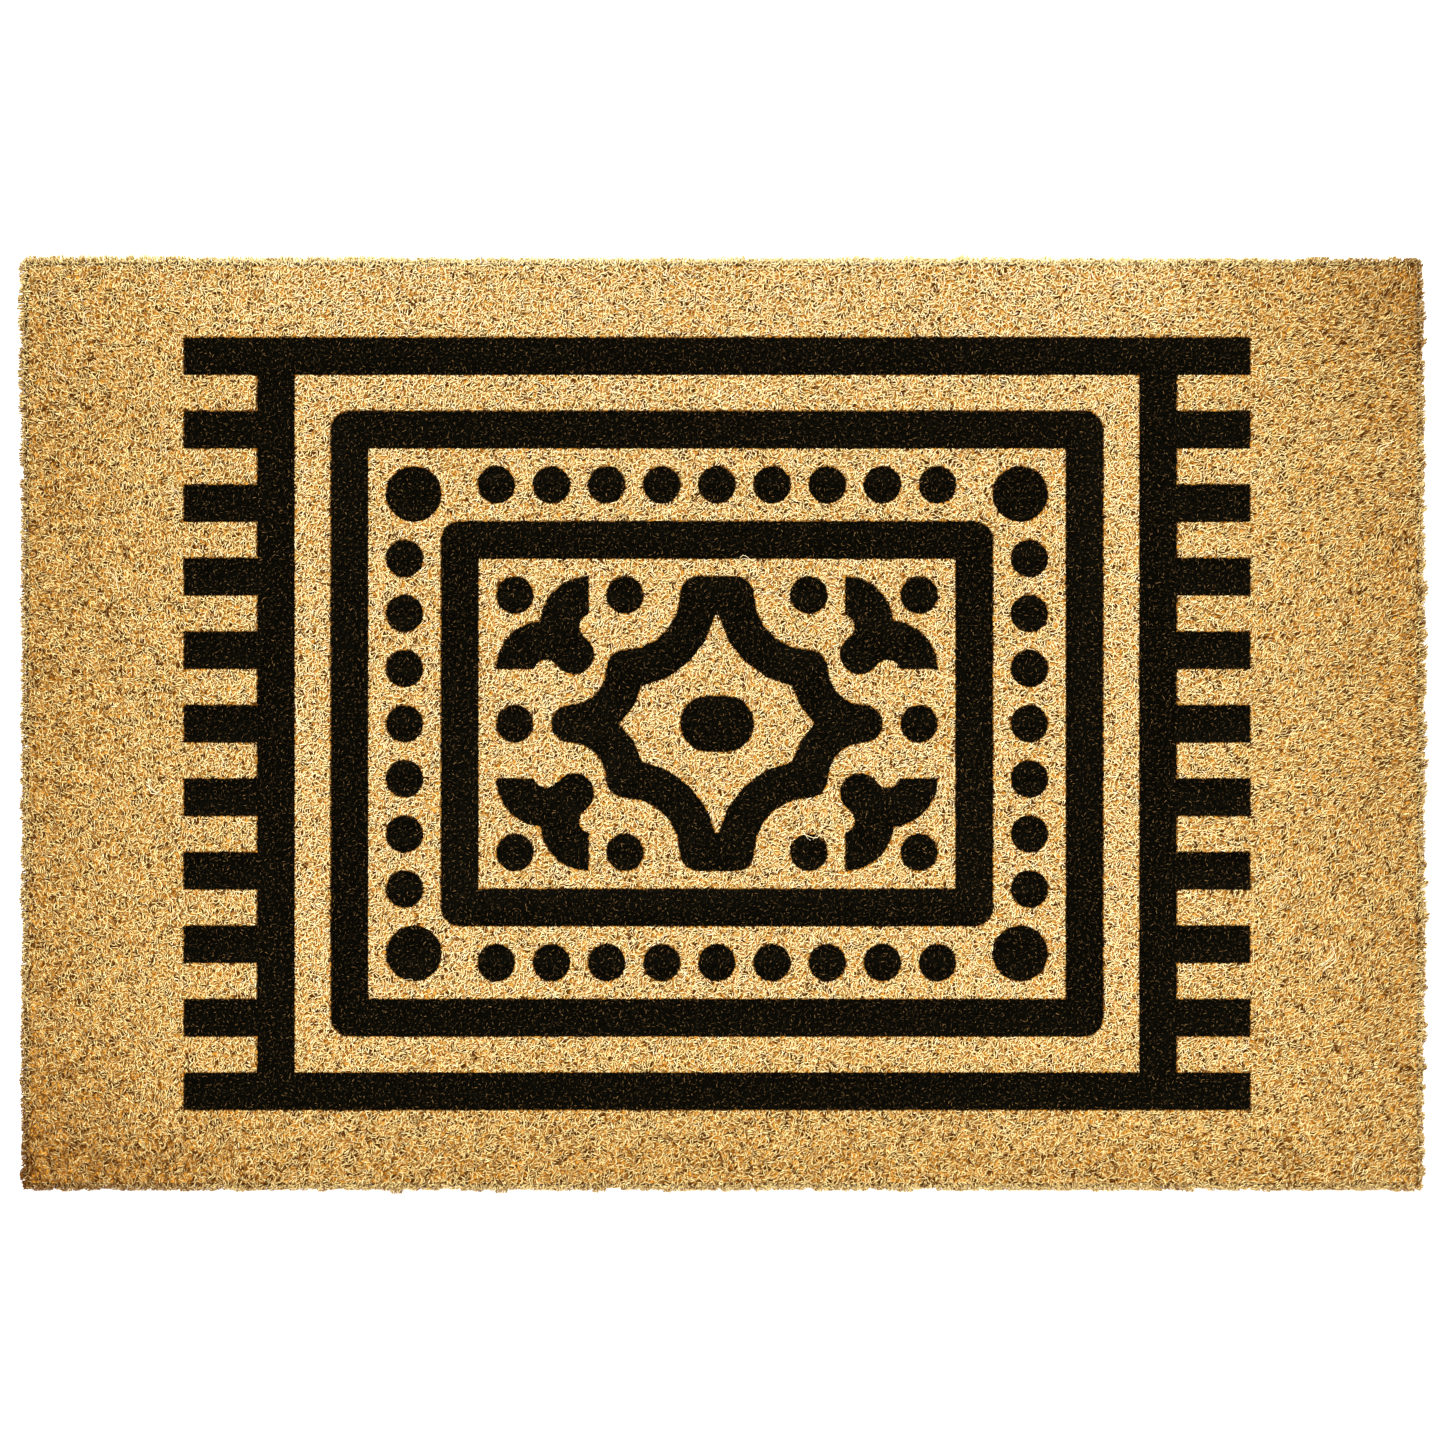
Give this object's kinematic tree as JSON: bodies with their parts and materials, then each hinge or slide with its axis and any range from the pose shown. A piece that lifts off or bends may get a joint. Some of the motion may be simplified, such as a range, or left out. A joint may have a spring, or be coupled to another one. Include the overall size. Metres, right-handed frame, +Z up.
{
  "type": "door mat",
  "caption": "Rectangular door mat of cut coconut fibre pile on a flat plastic backing, with a dyed pattern of framed bars, dots and a medallion.",
  "frame": {"origin": "centre of the underside, on the floor", "axes": "+X along the long side, +Y across to the back long side, +Z up out of the pile"},
  "size_m": [0.914, 0.6066, 0.015],
  "materials": {
    "natural_coir": "natural golden brown coconut fibre, cut pile, matt, with darker gaps and pale single fibres",
    "dyed_coir": "the same fibre dyed near black, matt, with a few undyed brown fibres",
    "pvc_backing": "black soft PVC, satin, finely grained underside"
  },
  "bodies": {
    "root": {"pvc_backing": "pvc_backing", "coir_pile": "natural_coir", "print_disc_back_left": "dyed_coir", "print_disc_back_right": "dyed_coir", "print_disc_front_left": "dyed_coir", "print_disc_front_right": "dyed_coir", "print_dot_back_1": "dyed_coir", "print_dot_back_2": "dyed_coir", "print_dot_back_3": "dyed_coir", "print_dot_back_4": "dyed_coir", "print_dot_back_5": "dyed_coir", "print_dot_back_6": "dyed_coir", "print_dot_back_7": "dyed_coir", "print_dot_back_8": "dyed_coir", "print_dot_back_9": "dyed_coir", "print_dot_front_1": "dyed_coir", "print_dot_front_2": "dyed_coir", "print_dot_front_3": "dyed_coir", "print_dot_front_4": "dyed_coir", "print_dot_front_5": "dyed_coir", "print_dot_front_6": "dyed_coir", "print_dot_front_7": "dyed_coir", "print_dot_front_8": "dyed_coir", "print_dot_front_9": "dyed_coir", "print_dot_left_1": "dyed_coir", "print_dot_left_2": "dyed_coir", "print_dot_left_3": "dyed_coir", "print_dot_left_4": "dyed_coir", "print_dot_left_5": "dyed_coir", "print_dot_left_6": "dyed_coir", "print_dot_left_7": "dyed_coir", "print_dot_right_1": "dyed_coir", "print_dot_right_2": "dyed_coir", "print_dot_right_3": "dyed_coir", "print_dot_right_4": "dyed_coir", "print_dot_right_5": "dyed_coir", "print_dot_right_6": "dyed_coir", "print_dot_right_7": "dyed_coir", "print_inner_dot_back_1": "dyed_coir", "print_inner_dot_back_2": "dyed_coir", "print_inner_dot_back_3": "dyed_coir", "print_inner_dot_back_4": "dyed_coir", "print_inner_dot_front_1": "dyed_coir", "print_inner_dot_front_2": "dyed_coir", "print_inner_dot_front_3": "dyed_coir", "print_inner_dot_front_4": "dyed_coir", "print_inner_dot_left": "dyed_coir", "print_inner_dot_right": "dyed_coir", "print_inner_frame": "dyed_coir", "print_leaves_back_left": "dyed_coir", "print_leaves_back_right": "dyed_coir", "print_leaves_front_left": "dyed_coir", "print_leaves_front_right": "dyed_coir", "print_medallion": "dyed_coir", "print_middle_frame": "dyed_coir", "print_outer_frame": "dyed_coir", "print_oval": "dyed_coir"}
  },
  "joints": []
}
